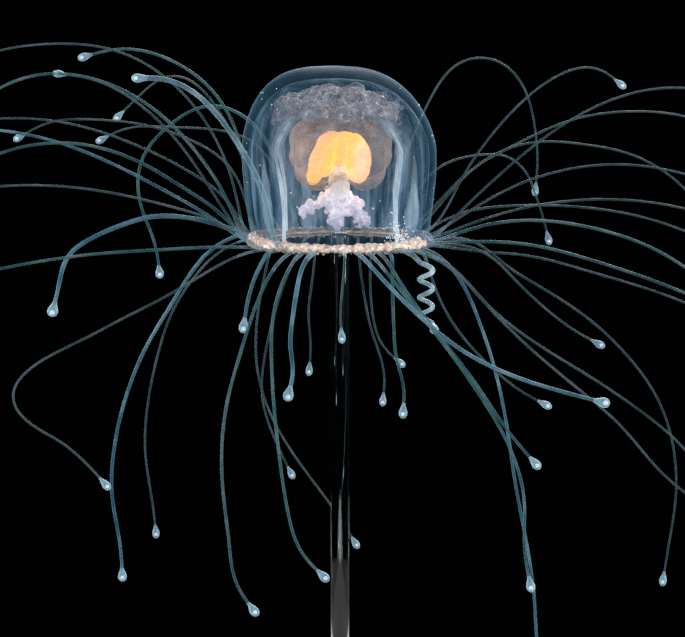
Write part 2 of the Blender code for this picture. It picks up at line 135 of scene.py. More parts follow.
def at_share(values, share):
    """The value at a share of the way along evenly spaced values, on a smooth curve through them."""
    place = share * (len(values) - 1)
    i = min(int(place), len(values) - 2)
    t = place - i
    before, a, b, after = (values[max(i - 1, 0)], values[i], values[i + 1],
                           values[min(i + 2, len(values) - 1)])
    slope_a, slope_b = (b - before) / 2, (after - a) / 2
    return (a + slope_a * t + (3 * (b - a) - 2 * slope_a - slope_b) * t ** 2
            + (2 * (a - b) + slope_a + slope_b) * t ** 3)


def tentacle_path(azimuth, length, climbs):
    """Centre line of a tentacle, from its root to the tip of its knob."""
    angle = math.radians(azimuth)
    side = 1 if math.cos(angle) > 0 else -1
    lean = LEAN * math.sin(angle) + EXTRA_LEAN.get(azimuth, 0)
    point = Vector((ROOT_RADIUS * math.cos(angle), ROOT_RADIUS * math.sin(angle),
                    MARGIN_Z - ROOT_DROP))
    path = [point]
    step = length * MM / PATH_STEPS
    for i in range(PATH_STEPS):
        share = (i + 0.5) / PATH_STEPS
        climb = math.radians(at_share(climbs, share))
        spread = lean * (LEAN_AT_ROOT - share)
        point = point + step * Vector((side * math.cos(climb), spread, math.sin(climb)))
        path.append(point)
    return path


def coil_path():
    """Centre line of the one contracted tentacle: a short stem, then a corkscrew hanging down."""
    angle = math.radians(COIL_AZIMUTH)
    root = Vector((ROOT_RADIUS * math.cos(angle), ROOT_RADIUS * math.sin(angle),
                   MARGIN_Z - ROOT_DROP))
    axis_top = root + Vector(COIL_STEM)
    path = [root, root + COIL_STEM_BEND * Vector(COIL_STEM)]
    steps = round(COIL_TURNS * COIL_RINGS)
    for i in range(steps + 1):
        turn = 2 * math.pi * i * COIL_TURNS / steps
        around = Vector((-math.cos(turn), math.sin(turn), 0))
        path.append(axis_top + COIL_RADIUS * around - Vector((0, 0, COIL_PITCH * turn / (2 * math.pi))))
    return path


def all_paths():
    """Names and centre lines of all the tentacles, in order round the rim."""
    rows = [(azimuth, tentacle_path(azimuth, length, climbs)) for azimuth, length, climbs in TENTACLES]
    rows.append((COIL_AZIMUTH, coil_path()))
    rows.sort(key=lambda row: row[0])
    return [(f"tentacle_{i + 1:02d}", azimuth, path) for i, (azimuth, path) in enumerate(rows)]


# ---------------------------------------------------------------- materials
LOOKS = {}
BELL_MIDDLE_Z = 5.0 * MM    # height from which a see-through tissue's cover is gathered
CLOUD_LOW, CLOUD_HIGH = 0.3, 0.7    # the noise hardly leaves these values
FLECK_HEART = 0.4           # share of a fleck's radius that has its full colour
RELIEF = 0.6                # how strongly a pattern's relief catches the light


def colour(code):
    """Linear colour of an sRGB hex value."""
    values = [int(code[i:i + 2], 16) / 255 for i in (0, 2, 4)]
    return (*[v / 12.92 if v <= 0.04045 else ((v + 0.055) / 1.055) ** 2.4 for v in values], 1)


def add(tree, kind, settings=None, links=None):
    """Adds a node with its settings (properties, inputs, ramp stops) and the sockets that feed it."""
    made = tree.nodes.new(kind)
    for key, value in (settings or {}).items():
        if key == "stops":
            ramp = made.color_ramp.elements
            while len(ramp) < len(value):
                ramp.new(0.5)
            for element, (place, code) in zip(ramp, value):
                element.position = place
                element.color = colour(code)
        elif isinstance(key, int) or key in made.inputs:
            made.inputs[key].default_value = value
        else:
            setattr(made, key, value)
    for key, socket in (links or {}).items():
        tree.links.new(socket, made.inputs[key])
    return made


def hiding(tree, place, cloud, rim, cover, mottle, gather):
    """How much a see-through tissue hides: its edges' share, mottled, and gathered to one side."""
    hide = add(tree, "ShaderNodeMapRange", {"To Min": cover[0], "To Max": cover[1]},
               {"Value": rim}).outputs[0]
    changes = []
    if mottle:
        changes.append(add(tree, "ShaderNodeMapRange",
                           {"From Min": CLOUD_LOW, "From Max": CLOUD_HIGH,
                            "To Min": 1 - mottle, "To Max": 1 + mottle}, {"Value": cloud}).outputs[0])
    if gather:
        start = 1 - gather[2] * (MARGIN_Z + BELL_MIDDLE_Z) / MM
        slope = add(tree, "ShaderNodeVectorMath",
                    {"operation": "DOT_PRODUCT", 1: tuple(g / MM for g in gather)}, {0: place})
        changes.append(add(tree, "ShaderNodeMath", {"operation": "ADD", 1: start},
                           {0: slope.outputs["Value"]}).outputs[0])
    for change in changes:
        hide = add(tree, "ShaderNodeMath", {"operation": "MULTIPLY", "use_clamp": True},
                   {0: hide, 1: change}).outputs[0]
    return hide


def tissue(name, stops, grain, stretch=(1, 1, 1), drift=(0, 0, 0), middle=0.5, level=0.0, vary=1.6,
           edge=None, edge_power=3.0, cover=None, mottle=0.0, gather=None, flecks=None, rough=0.4,
           bump=0.0, ior=1.36, specular=0.5, clear=0.0, glow=0.0):
    """Makes the look of a soft tissue (or of the stand) whose colour wanders over `grain` mm.

    stops: the colour ramp, (place, hex), from the darkest tone to the palest
    stretch: how far the pattern is drawn out along x, y and z
    drift: how the place on the ramp changes for each mm along x, y and z
    middle, level: the mean place on the ramp, on the axis `level` mm above the rim
    vary: how strongly the colour wanders
    edge, edge_power: painted rim light, a colour laid on edges turned from the viewer, and how narrow
    they are
    cover: how much the tissue hides face on and at its edges; None is opaque
    mottle: how much that cover wanders
    gather: how the cover grows for each mm along x, y and z from the middle of the bell
    flecks: pale grains in it, (hex, spacing in mm, share of the spacing, strength)
    bump: height of the pattern's relief in mm
    rough, ior, specular: as the real surface's
    clear: share of light that passes through as through glass
    glow: light of its own colour that stands for the light passed on from behind
    """
    look = bpy.data.materials.new(name)
    look.use_nodes = True
    tree = look.node_tree
    shader = tree.nodes["Principled BSDF"]
    place = add(tree, "ShaderNodeTexCoord").outputs["Object"]
    scale = tuple(1 / (grain * MM * s) for s in stretch)
    spread = add(tree, "ShaderNodeMapping", {"Scale": scale}, {"Vector": place}).outputs["Vector"]
    cloud = add(tree, "ShaderNodeTexNoise", {"Scale": 1.0, "Detail": 3.0, "Roughness": 0.6},
                {"Vector": spread}).outputs[0]
    start = middle - vary / 2 - drift[2] * (MARGIN_Z / MM + level)
    shade = add(tree, "ShaderNodeMath", {"operation": "MULTIPLY_ADD", 1: vary, 2: start},
                {0: cloud}).outputs[0]
    slope = add(tree, "ShaderNodeVectorMath",
                {"operation": "DOT_PRODUCT", 1: tuple(d / MM for d in drift)}, {0: place})
    shade = add(tree, "ShaderNodeMath", {"operation": "ADD"},
                {0: shade, 1: slope.outputs["Value"]}).outputs[0]
    tone = add(tree, "ShaderNodeValToRGB", {"stops": stops}, {0: shade}).outputs["Color"]
    facing = add(tree, "ShaderNodeLayerWeight", {"Blend": 0.5}).outputs["Facing"]
    rim = add(tree, "ShaderNodeMath", {"operation": "POWER", 1: edge_power}, {0: facing}).outputs[0]
    # painted rim light: the tone turns to the edge colour where the surface turns from the viewer
    if edge:
        tone = add(tree, "ShaderNodeMix", {"data_type": "RGBA", 7: colour(edge)},
                   {0: rim, 6: tone}).outputs[2]
    hide = hiding(tree, place, cloud, rim, cover, mottle, gather) if cover else None
    if flecks:
        code, spacing, share, strength = flecks
        cells = add(tree, "ShaderNodeTexVoronoi", {"Scale": 1 / (spacing * MM)}, {"Vector": place})
        grainy = add(tree, "ShaderNodeMapRange",
                     {"From Min": share, "From Max": share * FLECK_HEART,
                      "To Min": 0.0, "To Max": strength},
                     {"Value": cells.outputs["Distance"]}).outputs[0]
        tone = add(tree, "ShaderNodeMix", {"data_type": "RGBA", 7: colour(code)},
                   {0: grainy, 6: tone}).outputs[2]
        if hide:
            hide = add(tree, "ShaderNodeMath", {"operation": "MAXIMUM"}, {0: hide, 1: grainy}).outputs[0]
    tree.links.new(tone, shader.inputs["Base Color"])
    if hide:
        tree.links.new(hide, shader.inputs["Alpha"])
    if bump:
        dent = add(tree, "ShaderNodeBump", {"Strength": RELIEF, "Distance": bump * MM}, {"Height": cloud})
        tree.links.new(dent.outputs[0], shader.inputs["Normal"])
    # painted glow: the tone is also given off as light, standing for light passed on from behind
    if glow:
        tree.links.new(tone, shader.inputs["Emission Color"])
        shader.inputs["Emission Strength"].default_value = glow
    shader.inputs["Roughness"].default_value = rough
    shader.inputs["IOR"].default_value = ior
    shader.inputs["Specular IOR Level"].default_value = specular
    shader.inputs["Transmission Weight"].default_value = clear
    LOOKS[name] = look


# Mesoglea: water-clear jelly with a thin skin; a blue-white outline is painted at its edges as rim light
tissue("jelly_outer", [(0.2, "1d4a5c"), (0.8, "42728e")], 3.0, drift=(0.02, 0, 0.02), middle=1.14,
       cover=(0.115, 0.64), edge_power=6.0, edge="8cb2ca", mottle=0.4, rough=0.5, specular=0.06)
# Muscle sheet lining the bell: faint upright folds, denser towards the rim and the back, with a painted
# pale rim light
tissue("jelly_inner", [(0.2, "2e5674"), (0.5, "5a88b0"), (0.85, "aed0f0")], 0.8, stretch=(1, 1, 9),
       drift=(0, 0.06, 0), cover=(0.15, 0.5), edge_power=6.0, edge="86a6bc", mottle=1.2,
       gather=(0, 0.17, -0.11), rough=0.55, specular=0.05)
# Velum: a thin muscular shelf, dusky and nearly clear
tissue("velum", [(0.2, "1c2830"), (0.6, "3c4c56"), (0.9, "a09080")], 0.6, cover=(0.02, 0.06),
       edge_power=2.0, mottle=0.9, rough=0.6, specular=0.03)
# Next to the ring the velum is as peach and cloudy as the bulbs, with a faint painted glow
tissue("velum_root", [(0.2, "b0a298"), (0.5, "d4c8be"), (0.85, "f4ece4")], 0.35, cover=(0.45, 0.7),
       edge_power=2.0, mottle=0.6, rough=0.5, specular=0.1, glow=0.06)
# The bulbs' inner side: greyer tissue with no stinging cells
tissue("bulbs_inside", [(0.2, "6c6864"), (0.6, "aca098"), (0.9, "e4d6c8")], 0.3, cover=(0.55, 0.75),
       edge_power=2.0, mottle=0.5, rough=0.5, specular=0.1)
# Young bulbs at the right end of the ring: glassy lilac, with few stinging cells yet, and a painted pale
# rim light
tissue("bulbs_young", [(0.2, "3c5266"), (0.5, "76849a"), (0.85, "c4bcca")], 0.3, cover=(0.45, 0.7),
       edge_power=2.0, edge="8ea2b4", mottle=0.7, rough=0.5, specular=0.1)
# Bulbs: opaque peach tissue crowded with cream stinging-cell clusters
tissue("bulbs", [(0.2, "b8948a"), (0.5, "e2c6b6"), (0.8, "fcf2ea")], 0.26, vary=1.7, rough=0.5,
       bump=0.05, flecks=("fffefa", 0.26, 0.40, 0.95))
# Tentacles: clear tubes of muscle with a pale rim light painted at their edges; most are teal, the
# stretched thin ones grey and the slack thick ones blue
for kind, dark, mid, pale, painted_rim_light, dense in (
        ("tentacle", "1a464c", "325f65", "627276", "588a90", 0.95),
        ("tentacle_grey", "203f44", "3a5459", "5a5e68", "5e7c82", 0.92),
        ("tentacle_blue", "204e62", "3a6a7e", "6c929e", "689aac", 0.95)):
    tissue(kind, [(0.1, dark), (0.5, mid), (0.9, pale)], 2.5, vary=2.2, cover=(0.6, dense),
           edge_power=1.6, edge=painted_rim_light, mottle=0.2, rough=0.45, specular=0.2)
# One loose tentacle is slack and nearly white, and the contracted coil is denser still; both have a
# painted pale rim light, the coil a faint painted glow
tissue("tentacle_pale", [(0.1, "50788e"), (0.5, "7398ac"), (0.9, "a4c2d0")], 2.0, cover=(0.32, 0.92),
       edge_power=1.6, edge="9cbecc", mottle=0.4, rough=0.4, specular=0.2)
tissue("coil", [(0.1, "6c9cb4"), (0.5, "9cc4d4"), (0.9, "d8ecf4")], 1.0, cover=(0.4, 0.95),
       edge_power=1.6, edge="c4e0ea", mottle=0.3, rough=0.3, specular=0.4, glow=0.05)
# Where a tentacle leaves its bulb it is paler and clearer, with a painted pale rim light
tissue("root", [(0.2, "4c7484"), (0.8, "8aacba")], 0.6, cover=(0.26, 0.75), edge_power=1.6,
       edge="a4c0cc", mottle=0.3, rough=0.45, specular=0.15)
# Knobs at the tips: wet glassy drops with a painted white rim light and faint painted glow, round a white
# core of stinging cells with a stronger painted glow
tissue("knob", [(0.2, "5c98b0"), (0.8, "a0c8da")], 0.5, cover=(0.42, 0.96), edge_power=1.8,
       edge="e0f0f6", rough=0.35, specular=0.3, glow=0.07)
tissue("knob_core", [(0.2, "c8e4f2"), (0.8, "ffffff")], 0.2, rough=0.45, glow=0.4)
# Radial canals: thick-walled channels, grey at the shoulder and blue-white towards the rim, with a
# painted glow that follows their tone
tissue("canal", [(0.15, "7c8088"), (0.45, "a8bccc"), (0.9, "eef6fc")], 0.6, stretch=(1, 1, 4),
       drift=(0, 0, -0.11), middle=0.62, level=3.0, vary=1.2, cover=(0.7, 0.95), edge_power=1.5,
       mottle=0.4, rough=0.45, specular=0.1, glow=0.32)
# The jelly round each canal is faintly milky, with a painted pale rim light
tissue("canal_web", [(0.2, "5c7e98"), (0.8, "b0c8da")], 0.7, stretch=(1, 1, 6), cover=(0.18, 0.05),
       edge_power=1.5, edge="b8ccda", mottle=0.8, rough=0.5, specular=0.05)
# Folds of the muscle sheet: soft milky bands that fade upward, with a painted pale rim light
tissue("fold", [(0.2, "6c92ac"), (0.8, "c4dae8")], 0.8, stretch=(1, 1, 6), cover=(0.15, 0.03),
       edge_power=1.5, edge="a8c4d4", mottle=0.8, gather=(0, 0, -0.5), rough=0.5, specular=0.05)
# Foam of gut cells: lavender-grey bubbles, half clear, with a pale speck in many and a painted pale rim
# light
tissue("foam", [(0.15, "545868"), (0.5, "868794"), (0.85, "cac8d2")], 0.55, stretch=(1, 1, 1.8),
       drift=(0.02, 0, 0), cover=(0.38, 0.46), edge_power=2.0, edge="9c9ca8", mottle=0.9, rough=0.5,
       specular=0.1, bump=0.08, flecks=("f2eef6", 0.38, 0.26, 0.6))
# Loose bubbles on the foam: clear, with a thin pale outline painted at their edges as rim light
tissue("bubble", [(0.2, "88869a"), (0.8, "cac4d2")], 0.5, cover=(0.10, 0.36), edge_power=1.8,
       edge="c0bec8", rough=0.25, specular=0.2)
# Stomach wall: a grey-brown smoky membrane, with a painted pale rim light and a faint painted glow that
# lifts its shaded edges
tissue("stomach_wall", [(0.15, "7a7c84"), (0.5, "9a9698"), (0.9, "c8b2a6")], 1.1,
       drift=(-0.08, 0, 0), cover=(0.44, 0.56), edge_power=2.0, edge="b0a8a6", mottle=0.4, rough=0.5,
       specular=0.05, glow=0.07)
# Ripe eggs packed in their sacs: amber yolk under a pale membrane, with a strong painted glow for light
# passed through from behind and a painted peach shade where the lobes turn away
tissue("eggs", [(0.08, "f8b068"), (0.3, "ffba44"), (0.46, "ffca10"), (0.62, "ffc250"),
                (0.82, "ffca98")], 0.9, drift=(0.26, 0, -0.12), level=5.2, vary=0.6,
       cover=(1.0, 0.32), edge_power=2.2, edge="fcb880", rough=0.5, bump=0.04, specular=0.15, glow=1.45)
# Lips: white-lilac frills of stinging cells, cream where the tube leaves the gonads, with a painted glow
# for their bright highlights
tissue("lips", [(0.1, "bcb6d0"), (0.4, "e8e2f2"), (0.6, "fffcff"), (0.9, "ffe4bc")], 0.35,
       drift=(0, 0, 0.19), middle=0.42, level=2.0, vary=1.1, cover=(0.75, 1.0), mottle=0.15,
       rough=0.5, bump=0.05, specular=0.15, glow=0.22)
# The feeding tube between the gonads: creamy flesh with a strong painted glow for the gonads' yellow
# light shining through it
tissue("tube", [(0.2, "ffe4bc"), (0.7, "fff2e4")], 0.4, rough=0.5, specular=0.1, glow=0.9)
# Grains: specks of food and cast stinging cells, cream to bluish white
tissue("grains", [(0.3, "dce8ee"), (0.7, "fff4dc")], 0.3, rough=0.3)
# Cast acrylic, turned and polished: a deep black base with sharp reflections
tissue("black_acrylic", [(0.3, "08090b"), (0.7, "101216")], 4.0, rough=0.12, ior=1.49)
# Clear cast acrylic rod: it takes its tone from what lies behind it
tissue("clear_acrylic", [(0.3, "eef4f6"), (0.7, "f8fbfc")], 6.0, rough=0.03, ior=1.49, clear=1.0)
# Pale card under the model, matt and faintly clouded
tissue("floor_card", [(0.3, "b4b4b1"), (0.7, "bcbbb7")], 20.0, rough=0.9)


# ---------------------------------------------------------------- mesh helpers
class Body:
    """Points and faces of one joined piece, with a look for each face."""

    def __init__(self, name, *looks):
        self.name = name
        self.looks = looks
        self.points = []
        self.faces = []
        self.marks = []

    def wrap(self, rings, look, start=None, end=None, closed=False):
        """Wraps rings of points; start and end are poles, and a closed body joins last to first.

        look is a look's name, or a function that names one from a face's row and place round it.
        """
        named = look if callable(look) else lambda row, column: look
        count = len(rings[0])
        first = len(self.points)
        for ring in rings:
            self.points += ring
        rows = len(rings)
        for k in range(rows if closed else rows - 1):
            low, high = first + k * count, first + (k + 1) % rows * count
            for i in range(count):
                j = (i + 1) % count
                self.faces.append((low + i, low + j, high + j, high + i))
                self.marks.append(self.looks.index(named(k, i)))
        for pole, base in ((start, first), (end, first + (rows - 1) * count)):
            if pole is None:
                continue
            self.points.append(pole)
            tip = len(self.points) - 1
            for i in range(count):
                pair = (base + i, base + (i + 1) % count)
                self.faces.append((*(pair[::-1] if base == first else pair), tip))
                self.marks.append(self.looks.index(named(0 if base == first else rows - 2, i)))

    def ball(self, centre, size, look, sides=6, rows=4, tall=1.0):
        """A small round grain or bubble of radius `size`, `tall` times as high as it is wide."""
        rings = []
        for k in range(1, rows):
            polar = math.pi * k / rows
            rings.append([centre + Vector((size * math.sin(polar) * math.cos(t),
                                           size * math.sin(polar) * math.sin(t),
                                           -size * tall * math.cos(polar)))
                          for t in [2 * math.pi * i / sides for i in range(sides)]])
        pole = Vector((0, 0, size * tall))
        self.wrap(rings, look, centre - pole, centre + pole)

    def mesh(self):
        """The body's mesh, with its looks as materials."""
        mesh = bpy.data.meshes.new(self.name)
        mesh.from_pydata(self.points, [], self.faces)
        for look in self.looks:
            mesh.materials.append(LOOKS[look])
        mesh.polygons.foreach_set("material_index", self.marks)
        mesh.update()
        return mesh

    def build(self, slot, *nodes):
        """Puts the body in the scene as one piece, standing for CAD nodes."""
        placed(self.name, self.mesh(), slot, *nodes)


def placed(name, mesh, slot, *nodes):
    """Puts a finished mesh in the scene as a piece of the medusa, standing for CAD nodes."""
    mesh.shade_smooth()
    piece = bpy.data.objects.new(name, mesh)
    bpy.context.scene.collection.objects.link(piece)
    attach(piece, "root")
    if nodes:
        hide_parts(*nodes)


def spot(r, turn, z, shift=0.0):
    """The point at a radius, an angle and a height above the rim; shift moves it along x."""
    return Vector((shift + r * math.cos(turn), r * math.sin(turn), MARGIN_Z + z))


def round_ring(radius, z, count, shift=0.0):
    """Points round a level circle at a height above the rim; radius and z may depend on the angle."""
    points = []
    for i in range(count):
        angle = 2 * math.pi * i / count
        r = radius(angle) if callable(radius) else radius
        h = z(angle) if callable(z) else z
        points.append(spot(r, angle, h, shift))
    return points


def tube(centres, radii, sides):
    """Rings round a centre line, without twist."""
    rings = []
    across = None
    for i, centre in enumerate(centres):
        ahead = (centres[min(i + 1, len(centres) - 1)] - centres[max(i - 1, 0)]).normalized()
        if across is None:
            across = ahead.orthogonal().normalized()
        across = (across - across.dot(ahead) * ahead).normalized()
        beside = ahead.cross(across)
        rings.append([centre + radii[i] * (math.cos(t) * across + math.sin(t) * beside)
                      for t in [2 * math.pi * k / sides for k in range(sides)]])
    return rings


def eased(points, rounds, reach):
    """Smooths the first `reach` inner points of a path; its ends stay."""
    points = list(points)
    for _ in range(rounds):
        points[1:reach] = [(points[i - 1] + 2 * points[i] + points[i + 1]) / 4 for i in range(1, reach)]
    return points


def eased_step(share):
    """From 0 to 1, slow at both ends."""
    share = min(max(share, 0), 1)
    return share * share * (3 - 2 * share)


def bulge(i, steps, blunt, late=1.0):
    """From 0 up to 1 and back over a path's points.

    A small `blunt` rounds the ends off, and a large `late` moves the widest place on.
    """
    return math.sin(math.pi * ((i + 0.5) / (steps + 1)) ** late) ** blunt


def lump(point, size, amount):
    """A smooth random push at a point, over lumps of one size."""
    return amount * noise.noise(point / size)


def remeshed(name, blobs, looks, fineness, grain, rounds, layers):
    """One soft mesh round many overlapping ellipsoids (centre, radii, turn), with its looks.

    fineness counts the ellipsoids' subdivisions, grain is the size of the mesh's cells in mm and
    rounds its smoothing.  Layers of (lump size, height), in mm, then push its points by noise.
    """
    bm = bmesh.new()
    for centre, radii, turn in blobs:
        bmesh.ops.create_icosphere(bm, subdivisions=fineness, radius=1,
                                   matrix=Matrix.LocRotScale(centre, turn, radii))
    rough = bpy.data.meshes.new(name)
    bm.to_mesh(rough)
    bm.free()
    made = bpy.data.objects.new(name, rough)
    bpy.context.scene.collection.objects.link(made)
    union = made.modifiers.new("union", "REMESH")
    union.mode = "VOXEL"
    union.voxel_size = grain * MM
    soft = made.modifiers.new("soft", "SMOOTH")
    soft.iterations = rounds
    whole = bpy.data.meshes.new_from_object(made.evaluated_get(bpy.context.evaluated_depsgraph_get()))
    bpy.data.objects.remove(made)
    whole.name = name
    normals = [v.normal.copy() for v in whole.vertices]
    for vertex, normal in zip(whole.vertices, normals):
        vertex.co += normal * sum(lump(vertex.co, size * MM, height * MM) for size, height in layers)
    for look in looks:
        whole.materials.append(LOOKS[look])
    return whole


# ---------------------------------------------------------------- bell
BELL_COLUMNS = 176
SKIRT_ROWS = 22
DOME_ROWS = 34
SKIRT_START = 0.1 * MM      # the wall begins this far above the rim, inside the ring
WAVE_HEIGHT = 0.045 * MM    # soft waves of the jelly,
WAVES_ROUND = 1.3           # how closely they stand round the bell,
WAVE_RISE = 4 * MM          # and how far each goes up it
FOLD_HEIGHT = 0.35 * MM     # the same for the muscle folds inside
FOLDS_ROUND = 6
FOLD_RISE = 9 * MM
FOLD_GAP = 0.1              # the noise below this leaves the wall flat between two folds
CROWN_CALM = 1.4            # waves and folds fade where the bell is narrower than its widest / this


def bell_radius(z, rim, widest, apex):
    """Radius of a bell surface at a height above the rim."""
    if z <= BELL_WIDEST_Z:
        return rim + (widest - rim) * math.sin(math.pi / 2 * z / BELL_WIDEST_Z)
    rise = min((z - BELL_WIDEST_Z) / (apex - BELL_WIDEST_Z), 1)
    return widest * (1 - rise ** BELL_DOME_RISE) ** BELL_DOME_CLOSE


def outer_radius(z):
    """Radius of the bell's outside at a height above the rim."""
    return bell_radius(z, BELL_RIM_RADIUS, BELL_WIDEST_RADIUS, BELL_APEX_Z)


def crown_shift(z):
    """Sideways lean of the bell at a height above the rim."""
    return APEX_SHIFT * (max(z, 0) / BELL_APEX_Z) ** 3


def bell_rows(apex):
    """Heights above the rim of a bell surface's rings, closer together towards the crown."""
    skirt = [SKIRT_START + (BELL_WIDEST_Z - SKIRT_START) * i / SKIRT_ROWS for i in range(SKIRT_ROWS)]
    dome = [BELL_WIDEST_Z + (apex - BELL_WIDEST_Z) * math.sin(math.pi / 2 * i / DOME_ROWS)
            for i in range(DOME_ROWS)]
    return skirt + dome


def wall_ring(z, inset, apex, folds):
    """One ring of a bell surface, with soft waves and, inside, upright muscle folds."""
    base = bell_radius(z, BELL_RIM_RADIUS - inset, BELL_WIDEST_RADIUS - inset, apex)
    fade = min(1, base / BELL_WIDEST_RADIUS * CROWN_CALM)

    def radius(angle):
        at = Vector((math.cos(angle), math.sin(angle), 0))
        wave = WAVE_HEIGHT * noise.noise(at * WAVES_ROUND + Vector((0, 0, z / WAVE_RISE)))
        crest = noise.noise(at * FOLDS_ROUND + Vector((5, 0, z / FOLD_RISE))) - FOLD_GAP
        return base + (wave - folds * max(0, crest)) * fade

    return round_ring(radius, z, BELL_COLUMNS, crown_shift(z))


def grow_bell(skin):
    """The bell's outside, its lower edge and its folded lining."""
    inner_apex = BELL_APEX_Z - WALL_APEX
    outer = [wall_ring(z, 0, BELL_APEX_Z, 0) for z in bell_rows(BELL_APEX_Z)]
    inner = [wall_ring(z, WALL_SIDE, inner_apex, FOLD_HEIGHT) for z in bell_rows(inner_apex)]
    crown = spot(0, 0, BELL_APEX_Z, crown_shift(BELL_APEX_Z))
    inner_crown = spot(0, 0, inner_apex, crown_shift(inner_apex))
    skin.wrap(outer, "jelly_outer", end=crown)
    skin.wrap([inner[0], outer[0]], "jelly_outer")
    skin.wrap(inner[::-1], "jelly_inner", start=inner_crown)


# ---------------------------------------------------------------- rim ring and velum
RING_COLUMNS = 408
RING_SIDES = 12
RING_WIDE, RING_TALL = 1.12, 0.92   # the ring is a little wider than it is high
BULB_WIDTH = 1.9            # degrees from a bulb's middle to where it has fallen away
BULB_SWELL = 0.10 * MM
END_SWELL = 0.15 * MM       # the bulbs are larger at the ring's left and right ends
END_NARROW = 6              # how close to those ends that stays
LUMP_SIZE, LUMP_HEIGHT = 0.20 * MM, 0.16 * MM
INWARD = -0.2               # cosine of the turn round the ring's own tube where its inner side begins
YOUNG_SPAN = 24             # degrees to each side of +X in which the bulbs are young and glassy
YOUNG_RAGGED = 5            # and how many degrees that edge wanders


def grow_ring(skin):
    """The crowded bulbs round the rim, one at each tentacle's root, with smaller lumps between."""
    azimuths = [azimuth for _, azimuth, _ in all_paths()]
    rings = []
    for k in range(RING_COLUMNS):
        degrees = 360 * k / RING_COLUMNS
        angle = math.radians(degrees)
        gaps = [abs((degrees - azimuth + 180) % 360 - 180) for azimuth in azimuths]
        bulb = math.exp(-(min(gaps) / BULB_WIDTH) ** 2)
        at = Vector((RING_RADIUS * math.cos(angle), RING_RADIUS * math.sin(angle), 0))
        smooth = RING_THICK + BULB_SWELL * bulb + END_SWELL * abs(math.cos(angle)) ** END_NARROW
        ring = []
        for i in range(RING_SIDES):
            turn = 2 * math.pi * i / RING_SIDES
            on_skin = at + smooth * Vector((math.cos(turn), 0, math.sin(turn)))
            thick = smooth + lump(on_skin, LUMP_SIZE, LUMP_HEIGHT)
            ring.append(spot(RING_RADIUS + RING_WIDE * thick * math.cos(turn), angle,
                             RING_TALL * thick * math.sin(turn)))
        rings.append(ring)

    def look(row, column):
        degrees = (360 * row / RING_COLUMNS + 180) % 360 - 180
        if abs(degrees) < YOUNG_SPAN + YOUNG_RAGGED * noise.noise(Vector((row / 5, column / 3, 0))):
            return "bulbs_young"
        inward = math.cos(2 * math.pi * (column + 0.5) / RING_SIDES) < INWARD
        return "bulbs_inside" if inward else "bulbs"

    skin.wrap(rings, look, closed=True)


VELUM_COLUMNS = 160
VELUM_STEPS = 10            # rings on its top and as many on its underside
VELUM_ROOT_STEPS = 3        # of those, how many next to the ring are cloudy
VELUM_OUTER = RING_RADIUS - 0.15 * MM
VELUM_HALF_THICK = 0.10     # mm at the ring,
VELUM_THINNING = 0.04       # and mm less at the free edge
VELUM_SAG = 0.28 * MM
VELUM_RIPPLE = 0.05 * MM
VELUM_SCALLOPS, VELUM_WAVES = 9, 14     # ripples round its edge: in its width, and up and down


def velum_ring(share, side):
    """A ring of the velum: share goes from 0 at the rim to 1 at the free edge, side is 1 on top."""
    thick = side * (VELUM_HALF_THICK - VELUM_THINNING * share) * MM

    def radius(angle):
        across = VELUM_OUTER + (VELUM_INNER - VELUM_OUTER) * share
        return across + VELUM_RIPPLE * share * math.sin(VELUM_SCALLOPS * angle)

    def height(angle):
        wave = math.sin(VELUM_WAVES * angle + 1)
        return thick - VELUM_SAG * share + VELUM_RIPPLE * share * wave

    return round_ring(radius, height, VELUM_COLUMNS)


def grow_velum(skin):
    """The thin shelf inside the rim; its free edge sags and ripples."""
    rings = [velum_ring(i / (VELUM_STEPS - 1), side)
             for side in (1, -1) for i in range(VELUM_STEPS)[::side]]
    clear = range(VELUM_ROOT_STEPS, 2 * VELUM_STEPS - VELUM_ROOT_STEPS - 1)
    skin.wrap(rings, lambda row, column: "velum" if row in clear else "velum_root", closed=True)


# ---------------------------------------------------------------- tentacles
TENTACLE_SIDES = 9
TENTACLE_RADIUS = 0.089 * MM
# By the azimuth of the root: each thick tentacle's share of the usual girth, and the tentacles
# that are grey and drawn out, blue, or nearly white
THICK = {213: 0.95, 117: 1.1, 141: 1.2, 201: 1.5, 225: 1.25, 254: 1.4, 281: 1.25, 231: 1.7, 309: 1.45}
GREY = (4, 10, 16, 22, 28, 34, 40, 46, 53, 61, 70, 79, 102, 110, 123, 129, 135, 147, 153, 165, 171,
        189, 207, 219, 273, 316, 322, 328, 340, 346)
BLUE = (141, 177, 201, 225, 254, 281, 334)
PALE = (231, 309)           # these are thick, but with knobs of the usual size
STRAND_LOOKS = {azimuth: look for look, azimuths in (
    ("tentacle_pale", PALE), ("tentacle_blue", BLUE), ("tentacle_grey", GREY), ("coil", (COIL_AZIMUTH,)),
) for azimuth in azimuths}
THIN = 0.76                 # share of the usual girth that a grey tentacle has
FOOT_OUT = 0.08 * MM        # a tentacle's foot lies this far out from the ring's middle
FOOT_DROP = 0.20 * MM
FOOT_RUN = 0.25 * MM        # and runs straight out this far
EASED_POINTS = 14           # points of its path, from the foot, that are smoothed in as many rounds
ROOT_RINGS = 8              # rings of a tentacle that have the paler look of its root
ROOT_FLARE, ROOT_FLARE_REACH = 0.015 * MM, 1.1 * MM
BEADING, BEAD_SPACING = 0.10, 1.4 * MM      # the girth wanders by this share
ROOT_GIRTH, TAPER = 1.12, 0.2               # its share at the root, and what it loses by the tip
KNOB_LENGTH = 0.93 * MM
KNOB_RADIUS = 0.27 * MM
KNOB_SHARE, KNOB_GROWTH = 0.45, 0.5         # of that radius; the second counts once for each girth
KNOB_WIDEST = 0.64          # share of the knob's length where it is widest
KNOB_STEPS = 12
KNOB_SIDES = 12
HEART_PLACE = 0.74          # share of the knob's length where its white core sits
HEART_SIZE = 0.5            # share of the knob's radius
